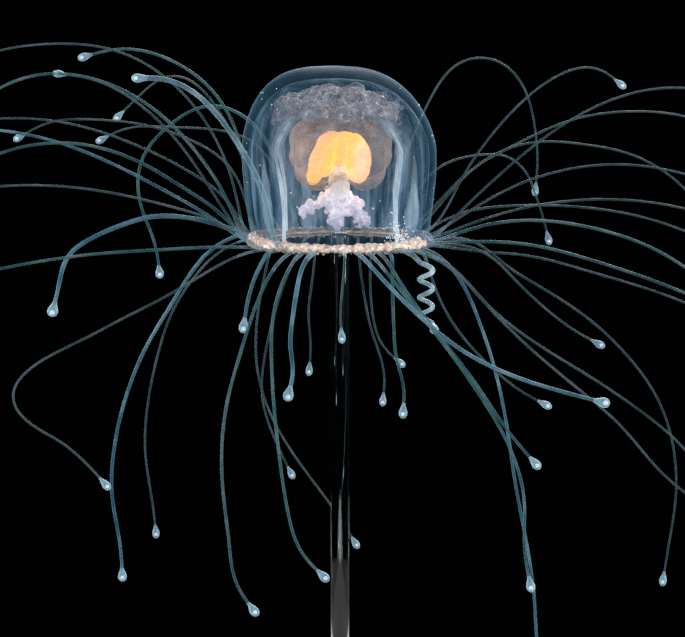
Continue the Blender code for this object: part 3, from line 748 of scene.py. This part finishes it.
HEART_SIDES, HEART_ROWS = 8, 6


def knob_profile(neck, swell):
    """(share of the knob's length, radius): a teardrop, widest near its tip."""
    profile = []
    for i in range(1, KNOB_STEPS):
        share = math.sin(math.pi / 2 * i / KNOB_STEPS)
        if share < KNOB_WIDEST:
            radius = neck + (swell - neck) * eased_step(share / KNOB_WIDEST)
        else:
            radius = swell * math.sqrt(1 - ((share - KNOB_WIDEST) / (1 - KNOB_WIDEST)) ** 2)
        profile.append((share, radius))
    return profile


def grow_tentacle(skin, azimuth, path):
    """A clear tube from its bulb to the teardrop knob at its tip."""
    angle = math.radians(azimuth)
    out = Vector((math.cos(angle), math.sin(angle), 0))
    foot = (RING_RADIUS + FOOT_OUT) * out + Vector((0, 0, MARGIN_Z - FOOT_DROP))
    path = [foot, foot + FOOT_RUN * out] + path
    if azimuth != COIL_AZIMUTH:
        path = eased(path, EASED_POINTS, EASED_POINTS)
    girth = THICK.get(azimuth, THIN if azimuth in GREY else 1.0)
    radii = []
    along = 0.0
    for i, point in enumerate(path):
        along += (point - path[i - 1]).length if i else 0
        flare = ROOT_FLARE * math.exp(-(along / ROOT_FLARE_REACH) ** 2)
        bead = 1 + BEADING * noise.noise(Vector((azimuth, 0, along / BEAD_SPACING)))
        radii.append(girth * TENTACLE_RADIUS * bead * (ROOT_GIRTH - TAPER * i / len(path)) + flare)
    rings = tube(path, radii, TENTACLE_SIDES)
    skin.wrap(rings[:ROOT_RINGS], "root", start=path[0])
    skin.wrap(rings[ROOT_RINGS - 1:], STRAND_LOOKS.get(azimuth, "tentacle"))
    knob_girth = 1.0 if azimuth in PALE else girth
    grow_knob(skin, path, radii[-1], KNOB_RADIUS * (KNOB_SHARE + KNOB_GROWTH * knob_girth))


def grow_knob(skin, path, neck, swell):
    """The teardrop at the end of a tentacle's path, with its white core."""
    end = path[-1]
    ahead = (path[-1] - path[-2]).normalized()
    profile = knob_profile(neck, swell)
    stations = [end] + [end + ahead * KNOB_LENGTH * share for share, _ in profile]
    rings = tube(stations, [neck] + [radius for _, radius in profile], KNOB_SIDES)
    skin.wrap(rings, "knob", end=end + ahead * KNOB_LENGTH)
    skin.ball(end + ahead * KNOB_LENGTH * HEART_PLACE, swell * HEART_SIZE, "knob_core",
              HEART_SIDES, HEART_ROWS)


def grow_skin():
    """The one skin of flesh: bell, rim ring, velum and all the tentacles."""
    skin = Body("medusa_skin", "jelly_outer", "jelly_inner", "velum", "velum_root", "bulbs",
                "bulbs_inside", "bulbs_young", "root", "tentacle", "tentacle_grey", "tentacle_blue",
                "tentacle_pale", "coil", "knob", "knob_core")
    grow_bell(skin)
    grow_ring(skin)
    grow_velum(skin)
    names = []
    for name, azimuth, path in all_paths():
        grow_tentacle(skin, azimuth, path)
        names.append(name)
    skin.build("jelly", "bell", "rim_ring", "velum", *names)


# ---------------------------------------------------------------- canals and folds
CANAL_STEPS = 70
CANAL_SIDES, WEB_SIDES = 10, 12
# A canal's height above the rim and distance from the axis (mm), from the stomach to the rim
CANAL_HEIGHTS = (7.75, 7.7, 7.45, 7.0, 6.1, 5.4, 4.5, 3.7, 2.9, 1.8, 0.2)
CANAL_REACH = (1.5, 2.4, 3.3, 4.2, 4.95, 5.2, 5.1, 4.9, 4.75, 4.7, 4.75)
CANAL_SWAY = 0.12 * MM
CANAL_RADIUS, CANAL_BEADING = 0.105, 0.05   # mm
WEB_WIDTH = 3.0             # the milky jelly round a canal is this many times as wide
WEB_BLUNT = 0.4
FOLD_REACH = 0.86           # share of the bell's radius at which the folds stand
FOLD_FOOT = 0.3             # mm above the rim
FOLD_SWAY = 0.05            # radians
FOLD_BLUNT, FOLD_LATE = 0.6, 1.4        # a fold is rounded at its ends and widest near its foot
SIDE_FOLDS = (
    # azimuth (degrees), half width and height (mm): soft upright folds of the muscle sheet
    (-27, 0.46, 3.9), (207, 0.32, 5.0), (24, 0.26, 5.2), (156, 0.26, 5.2),
)


def grow_canal(body, k):
    """One of the four radial canals, from the stomach's shoulder down to the rim, in its web."""
    azimuth = math.pi / 4 + math.pi / 2 * k
    out = Vector((math.cos(azimuth), math.sin(azimuth), 0))
    beside = Vector((-out.y, out.x, 0))
    path = []
    for i in range(CANAL_STEPS + 1):
        share = i / CANAL_STEPS
        z = at_share(CANAL_HEIGHTS, share) * MM
        sway = CANAL_SWAY * noise.noise(Vector((k * 7.3, 0, share * 4)))
        path.append(at_share(CANAL_REACH, share) * MM * out + sway * beside
                    + Vector((crown_shift(z), 0, MARGIN_Z + z)))
    radii = [(CANAL_RADIUS + CANAL_BEADING * noise.noise(Vector((k, 3, i / 6)))) * MM
             for i in range(CANAL_STEPS + 1)]
    web = [WEB_WIDTH * radius * bulge(i, CANAL_STEPS, WEB_BLUNT) for i, radius in enumerate(radii)]
    body.wrap(tube(path, radii, CANAL_SIDES), "canal", path[0], path[-1])
    body.wrap(tube(path, web, WEB_SIDES), "canal_web", path[0], path[-1])


def grow_fold(body, azimuth, width, height):
    """A soft upright fold of the muscle sheet, widest near its foot."""
    path = []
    for i in range(CANAL_STEPS + 1):
        z = (height + (FOLD_FOOT - height) * i / CANAL_STEPS) * MM
        angle = math.radians(azimuth) + FOLD_SWAY * noise.noise(Vector((azimuth, 0, i / 14)))
        path.append(spot(FOLD_REACH * outer_radius(z), angle, z, crown_shift(z)))
    radii = [width * MM * bulge(i, CANAL_STEPS, FOLD_BLUNT, FOLD_LATE) for i in range(CANAL_STEPS + 1)]
    body.wrap(tube(path, radii, WEB_SIDES), "fold", path[0], path[-1])


def grow_canals():
    """The four radial canals, and the folds of the muscle sheet."""
    canals = Body("radial_canals", "canal", "canal_web", "fold")
    for k in range(4):
        grow_canal(canals, k)
    for azimuth, width, height in SIDE_FOLDS:
        grow_fold(canals, azimuth, width, height)
    canals.build("jelly")


# ---------------------------------------------------------------- foam, stomach, gonads, mouth
GOLDEN_TURN = 2.399963      # radians: steps of this spread points evenly over a disc
FOAM_BLOBS = 64
FOAM_REACH = 3.45 * MM
FOAM_HEIGHT, FOAM_SAG, FOAM_UNEVEN = 8.7, 0.95, 0.25    # mm; the cushion is lower at its edge
FOAM_SIZES, FOAM_FLAT = (0.5, 0.75), 0.8                # mm, and height as a share of width


def scatter(body, look, count, reach, heights, sag, sizes, sides, rows):
    """Throws bubbles or grains over a disc; all in mm, and lower by `sag` at its edge."""
    for _ in range(count):
        turn = random.uniform(0, 2 * math.pi)
        r = reach * MM * math.sqrt(random.random())
        z = random.uniform(*heights) * MM - sag * MM * (r / (reach * MM)) ** 2
        size = random.uniform(*sizes) * MM
        body.ball(spot(r, turn, z, crown_shift(z)), size, look, sides, rows)


def grow_foam():
    """The cushion of gut cells under the crown, with bubbles crowded on it."""
    blobs = []
    for i in range(FOAM_BLOBS):
        turn = GOLDEN_TURN * i
        share = math.sqrt((i + 0.5) / FOAM_BLOBS)
        z = (FOAM_HEIGHT - FOAM_SAG * share ** 2 + FOAM_UNEVEN * random.uniform(-1, 1)) * MM
        size = random.uniform(*FOAM_SIZES) * MM
        blobs.append((spot(FOAM_REACH * share, turn, z, crown_shift(z)),
                      Vector((size, size, size * FOAM_FLAT)), Euler((0, 0, turn))))
    mesh = remeshed("gut_foam", blobs, ["foam"], fineness=2, grain=0.11, rounds=3,
                    layers=((0.5, 0.12), (0.2, 0.06)))
    placed("gut_foam", mesh, "gut_cells", "gut_stalk")
    bubbles = Body("gut_bubbles", "bubble", "grains")
    scatter(bubbles, "bubble", count=620, reach=4.0, heights=(7.5, 9.3), sag=1.0, sizes=(0.06, 0.17),
            sides=9, rows=6)
    scatter(bubbles, "grains", count=70, reach=3.9, heights=(7.2, 8.9), sag=0.0, sizes=(0.03, 0.06),
            sides=6, rows=4)
    bubbles.build("gut_cells")


def above_rim(blobs):
    """Ellipsoids in metres above the floor, from ones in mm above the rim with turns in degrees."""
    return [(Vector(centre) * MM + Vector((0, 0, MARGIN_Z)), Vector(radii) * MM,
             Euler([math.radians(a) for a in turn])) for centre, radii, turn in blobs]


UPRIGHT = (0, 0, 0)
STOMACH_LOBES = (
    # centre (mm above the rim), radii (mm), turn (degrees): the bag's upper and lower half
    ((0.05, 0, 5.95), (3.15, 2.95, 1.95), UPRIGHT),
    ((0.05, 0, 5.1), (3.15, 2.9, 1.65), UPRIGHT),
)
POUCH_REACH = 1.45          # mm from the axis, along both level axes, to the middle of each pouch
POUCH_HEIGHT = 4.4
POUCH_RADII = (1.3, 1.3, 1.3)


def grow_stomach():
    """A thin smoky bag under the foam, with four pouches that hang between the lips."""
    blobs = list(STOMACH_LOBES)
    for x, y in ((1, 1), (1, -1), (-1, 1), (-1, -1)):
        blobs.append(((x * POUCH_REACH, y * POUCH_REACH, POUCH_HEIGHT), POUCH_RADII, UPRIGHT))
    mesh = remeshed("stomach_bag", above_rim(blobs), ["stomach_wall"], fineness=3, grain=0.12,
                    rounds=14, layers=((1.3, 0.12), (0.4, 0.02)))
    placed("stomach_bag", mesh, "stomach_wall", "stomach")


EGG_LOBES = (
    # centre (mm above the rim), radii (mm), turn (degrees)
    ((0.02, -0.95, 5.40), (0.50, 0.45, 1.00), (0, 6, 0)),
    ((-0.62, -0.80, 5.15), (0.40, 0.40, 1.35), (0, 30, 0)),
    ((-1.25, -0.40, 4.95), (0.55, 0.55, 1.25), (0, 20, 0)),
    ((-1.45, -0.30, 4.10), (0.50, 0.46, 0.85), (0, 24, 0)),
    ((1.00, -0.50, 4.95), (0.86, 0.80, 1.50), (0, -6, 0)),
    ((0.30, -0.20, 5.50), (1.00, 0.80, 1.05), (0, -6, 0)),
    ((-0.50, -0.10, 5.55), (0.95, 0.75, 1.00), (0, 10, 0)),
    ((-0.10, -0.15, 4.75), (0.75, 0.55, 0.80), (0, 0, 0)),
    ((0.95, 0.35, 4.45), (0.80, 0.80, 1.05), (0, -20, 0)),
    ((0.00, 0.85, 5.20), (1.05, 0.80, 1.20), (8, 0, 0)),
    ((-0.75, 0.85, 4.70), (0.70, 0.65, 1.05), (0, 24, 0)),
)


def grow_gonads():
    """Ripe gonads: fingers of eggs on the left, a broad round lobe on the right."""
    mesh = remeshed("gonads_ripe", above_rim(EGG_LOBES), ["eggs"], fineness=3, grain=0.05, rounds=2,
                    layers=((0.6, 0.05), (0.16, 0.035)))
    placed("gonads_ripe", mesh, "eggs", "gonads")


LIP_ARMS = (
    # path of each lip from the tube's foot to its end (mm, heights above the rim)
    ((-0.35, -0.2, 2.7), (-0.9, -0.3, 2.35), (-1.45, -0.4, 2.15), (-1.95, -0.5, 1.95),
     (-2.3, -0.6, 1.6)),
    ((-0.1, -0.4, 2.6), (-0.2, -0.7, 2.1), (-0.25, -0.9, 1.6), (-0.2, -1.0, 1.15),
     (-0.1, -0.9, 0.9)),
    ((0.35, 0.0, 2.6), (0.75, -0.1, 2.15), (1.05, -0.25, 1.7), (1.35, -0.35, 1.35),
     (1.6, -0.4, 1.1)),
    ((0.1, 0.4, 2.6), (0.4, 0.8, 2.2), (0.7, 1.2, 2.0), (1.0, 1.5, 1.9), (1.2, 1.6, 2.1)),
)
# The feeding tube (mm, heights above the rim)
TUBE_STEPS = 30
TUBE_TOP, TUBE_LENGTH = 4.75, 2.7
TUBE_FOOT_Y = -0.1
TUBE_LEAN_X, TUBE_LEAN_Y = -0.12, -0.85     # how far its top lies from its foot
TUBE_NECK, TUBE_SPREAD = 0.20, 0.45         # radius at its top, and what it gains
TUBE_FLARE = 0.45                           # over this share of its length
CREAMY_HEIGHT = 4.1                         # above this, inside the stomach, it is creamy
CREAMY_PATCH, CREAMY_RAGGED = 0.2, 0.5      # size and height of the patches along that border
# The cushion where the four lips meet (mm)
CUSHION_CLUSTERS = 130
CUSHION_WIDE, CUSHION_DEEP = 0.9, 0.75
CUSHION_TOP, CUSHION_SAG = 2.35, 0.65
CUSHION_UNEVEN = (-0.2, 0.15)
CUSHION_SIZES = (0.09, 0.18)
# The lips (mm): a row of places along each, with a few clusters of cells thrown round every one
ARM_STEPS, ARM_CLUSTERS = 44, 4
ARM_WIDTH, ARM_THINNING = 0.34, 0.10
ARM_FRILL, ARM_WAVES = 0.10, 11
ARM_SIZES = (0.08, 0.20)
ARM_ROOT_SHARE, ARM_LOSS = 1.25, 0.45       # the clusters' size at the root, and what they lose


def feeding_tube():
    """Round lumps (centre, radius) down the feeding tube."""
    blobs = []
    for i in range(TUBE_STEPS):
        share = i / (TUBE_STEPS - 1)
        left = 1 - share
        centre = Vector((TUBE_LEAN_X * left, TUBE_FOOT_Y + TUBE_LEAN_Y * left,
                         TUBE_TOP - TUBE_LENGTH * share))
        blobs.append((centre, TUBE_NECK + TUBE_SPREAD * eased_step(share / TUBE_FLARE)))
    return blobs


def lip_cushion():
    """Clusters (centre, radius) where the four lips meet."""
    blobs = []
    for _ in range(CUSHION_CLUSTERS):
        turn = random.uniform(0, 2 * math.pi)
        share = math.sqrt(random.random())
        place = Vector((CUSHION_WIDE * share * math.cos(turn), CUSHION_DEEP * share * math.sin(turn),
                        CUSHION_TOP - CUSHION_SAG * share))
        place += Vector((0, 0, random.uniform(*CUSHION_UNEVEN)))
        blobs.append((place, random.uniform(*CUSHION_SIZES)))
    return blobs


def lip(arm):
    """Clusters (centre, radius) along one lip, thrown round the points of its path."""
    blobs = []
    for i in range(ARM_STEPS):
        share = i / (ARM_STEPS - 1)
        place = Vector([at_share([p[axis] for p in arm], share) for axis in range(3)])
        spread = ARM_WIDTH - ARM_THINNING * share + ARM_FRILL * math.sin(ARM_WAVES * share)
        for _ in range(ARM_CLUSTERS):
            off = Vector([random.gauss(0, 1) for _ in range(3)]) * spread * 0.5
            size = random.uniform(*ARM_SIZES) * (ARM_ROOT_SHARE - ARM_LOSS * share)
            blobs.append((place + off, size))
    return blobs


def grow_mouth():
    """The feeding tube and its four frilled lips: cords of flesh crusted with clusters of cells."""
    blobs = feeding_tube() + lip_cushion()
    for arm in LIP_ARMS:
        blobs += lip(arm)
    balls = [(centre, (size, size, size), UPRIGHT) for centre, size in blobs]
    mesh = remeshed("frilled_mouth", above_rim(balls), ["lips", "tube"], fineness=2, grain=0.05,
                    rounds=1, layers=((0.25, 0.04), (0.12, 0.03)))
    for face in mesh.polygons:
        ragged = lump(face.center, CREAMY_PATCH * MM, CREAMY_RAGGED * MM)
        height = face.center.z - MARGIN_Z + ragged
        face.material_index = 1 if height > CREAMY_HEIGHT * MM else 0
    placed("frilled_mouth", mesh, "lips", "manubrium")


# ---------------------------------------------------------------- grains
GRAIN_SIZES = (0.025, 0.06)         # mm
BELL_GRAINS = 46
BELL_GRAIN_HEIGHTS = (1.5, 9.0)     # mm
BELL_GRAIN_DEPTH = 0.02 * MM        # sunk this far into the bell
RIM_GRAINS = 190
RIM_GRAIN_OUT, RIM_GRAIN_UP = 0.36 * MM, 0.33 * MM      # they lie on the ring's skin,
RIM_GRAIN_TURNS = (-2.4, 0.9)       # from under its inner side to high on its outer one (radians)
SHED_CELLS = 150                    # a cloud of cast stinging cells inside the bell, front right
SHED_AZIMUTH, SHED_SPREAD = -44, 7  # degrees
SHED_FOOT = 0.2 * MM
SHED_RISE = 0.6                     # mm
SHED_DEPTHS = (0.1, 0.6)            # mm inside the bell's rim
SHED_SIZES, SHED_TALL = (0.012, 0.034), 1.6             # mm, and height as a share of width


def grow_grains():
    """Pale grains caught on the bell, clusters on the rim, and cells shed inside the bell."""
    grains = Body("pale_grains", "grains", "knob_core")
    for _ in range(BELL_GRAINS):
        z = random.uniform(*BELL_GRAIN_HEIGHTS) * MM
        turn = random.uniform(0, 2 * math.pi)
        size = random.uniform(*GRAIN_SIZES) * MM
        grains.ball(spot(outer_radius(z) - BELL_GRAIN_DEPTH, turn, z, crown_shift(z)), size, "grains")
    for _ in range(RIM_GRAINS):
        turn = random.uniform(0, 2 * math.pi)
        around = random.uniform(*RIM_GRAIN_TURNS)
        size = random.uniform(*GRAIN_SIZES) * MM
        place = spot(RING_RADIUS + RIM_GRAIN_OUT * math.cos(around), turn,
                     RIM_GRAIN_UP * math.sin(around))
        grains.ball(place, size, "grains")
    for _ in range(SHED_CELLS):
        turn = math.radians(random.gauss(SHED_AZIMUTH, SHED_SPREAD))
        z = SHED_FOOT + abs(random.gauss(0, SHED_RISE)) * MM
        r = BELL_RIM_RADIUS - random.uniform(*SHED_DEPTHS) * MM
        grains.ball(spot(r, turn, z), random.uniform(*SHED_SIZES) * MM, "knob_core", tall=SHED_TALL)
    grains.build("bulbs")


# ---------------------------------------------------------------- stand, floor, lights, camera
STAND_COLUMNS = 160
BASE_RADIUS = 17.0 * MM
BASE_THICK = 3.0 * MM
BASE_BEVEL = 0.5 * MM
ROD_RADIUS = 0.55 * MM
ROD_TOP = 0.5 * MM          # above the rim, just under the lips
ROD_STEPS = 8
BEVEL_STEPS = 6


def turned(name, profile, look, node):
    """A lathe-turned piece of the stand; the profile is (radius, height above the floor)."""
    body = Body(name, look)
    rings = [round_ring(r, z - MARGIN_Z, STAND_COLUMNS) for r, z in profile]
    body.wrap(rings, look, Vector((0, 0, profile[0][1])), Vector((0, 0, profile[-1][1])))
    body.build(look, node)


def rounded(radius, height, bevel, side):
    """Points of a rounded edge: side is 1 for a top edge and -1 for a bottom one."""
    turns = [math.pi / 2 * i / BEVEL_STEPS for i in range(BEVEL_STEPS + 1)][::side]
    return [(radius - bevel + bevel * math.cos(t), height + side * bevel * (math.sin(t) - 1))
            for t in turns]


def make_stand():
    """A polished black disc and the clear rod that holds the medusa under its lips."""
    edge = rounded(BASE_RADIUS, 0, BASE_BEVEL, -1) + rounded(BASE_RADIUS, BASE_THICK, BASE_BEVEL, 1)
    disc = [(BASE_RADIUS / 2, 0)] + edge + [(BASE_RADIUS / 2, BASE_THICK)]
    turned("stand_disc", disc, "black_acrylic", "stand_base")
    foot, top = BASE_THICK, MARGIN_Z + ROD_TOP
    shaft = [(ROD_RADIUS, foot + (top - foot) * k / ROD_STEPS) for k in range(ROD_STEPS)]
    turned("stand_clear_rod", shaft + rounded(ROD_RADIUS, top, ROD_RADIUS * 0.6, 1), "clear_acrylic",
           "stand_rod")


FLOOR_RADIUS = 46 * MM
FLOOR_FORWARD = 15 * MM      # its middle lies this far in front of the stand
FLOOR_BOTTOM, FLOOR_TOP = -1.0 * MM, -0.05 * MM
FLOOR_COLUMNS = 96


def lay_floor():
    """A pale round card under the stand."""
    card = Body("floor", "floor_card")
    rings = [round_ring(FLOOR_RADIUS, z - MARGIN_Z, FLOOR_COLUMNS) for z in (FLOOR_BOTTOM, FLOOR_TOP)]
    card.wrap(rings, "floor_card", Vector((0, 0, FLOOR_BOTTOM)), Vector((0, 0, FLOOR_TOP)))
    floor = bpy.data.objects.new("floor", card.mesh())
    floor.location.y = -FLOOR_FORWARD
    bpy.context.scene.collection.objects.link(floor)


LIT_PLACE = Vector((0, 0, MARGIN_Z + 2 * MM))   # the lamps face the bell's lower half
SOFT_BOXES = (
    # name, place (mm), width (mm), power (W)
    ("left_box", (-190, -60, 90), 150, 0.42),
    ("right_box", (190, -60, 80), 150, 0.42),
    ("front_box", (-30, -230, 170), 160, 0.30),
    ("back_box", (30, 180, 150), 160, 0.45),
    ("low_box", (0, -120, -60), 120, 0.10),
)


def light_scene():
    """Soft boxes from both sides and behind, as a tank is lit against a dark ground."""
    for name, place, width, power in SOFT_BOXES:
        lamp = bpy.data.lights.new(name, "AREA")
        lamp.shape = "DISK"
        lamp.size = width * MM
        lamp.energy = power
        made = bpy.data.objects.new(name, lamp)
        made.location = Vector(place) * MM
        made.rotation_euler = (LIT_PLACE - made.location).to_track_quat("-Z", "Y").to_euler()
        bpy.context.scene.collection.objects.link(made)
    world = bpy.data.worlds.new("dark_room")
    world.use_nodes = True
    ground = world.node_tree.nodes["Background"]
    ground.inputs["Color"].default_value = colour("010102")
    ground.inputs["Strength"].default_value = 1.0
    bpy.context.scene.world = world


CAMERA_TILT = math.radians(7.5)     # the camera looks down this much
CAMERA_DISTANCE = 200 * MM
CAMERA_LENS = 175.18                # mm, on a sensor this wide
CAMERA_SENSOR = 36
CAMERA_NEAR = 10 * MM
AIM = Vector((0.15, -0.615, 27.33)) * MM


def place_camera():
    """A long lens in front of the medusa, level with the bell and tilted down a little."""
    ahead = Vector((0, math.cos(CAMERA_TILT), -math.sin(CAMERA_TILT)))
    lens = bpy.data.cameras.new("camera")
    lens.lens = CAMERA_LENS
    lens.sensor_width = CAMERA_SENSOR
    lens.clip_start = CAMERA_NEAR
    made = bpy.data.objects.new("camera", lens)
    made.location = AIM - CAMERA_DISTANCE * ahead
    made.rotation_euler = ahead.to_track_quat("-Z", "Y").to_euler()
    bpy.context.scene.collection.objects.link(made)
    bpy.context.scene.camera = made


place_camera()
grow_skin()
grow_canals()
grow_foam()
grow_stomach()
grow_gonads()
grow_mouth()
grow_grains()
make_stand()
lay_floor()
light_scene()
bpy.context.scene.view_settings.view_transform = "Standard"
bpy.context.scene.cycles.transparent_max_bounces = 32    # many clear layers lie one behind another
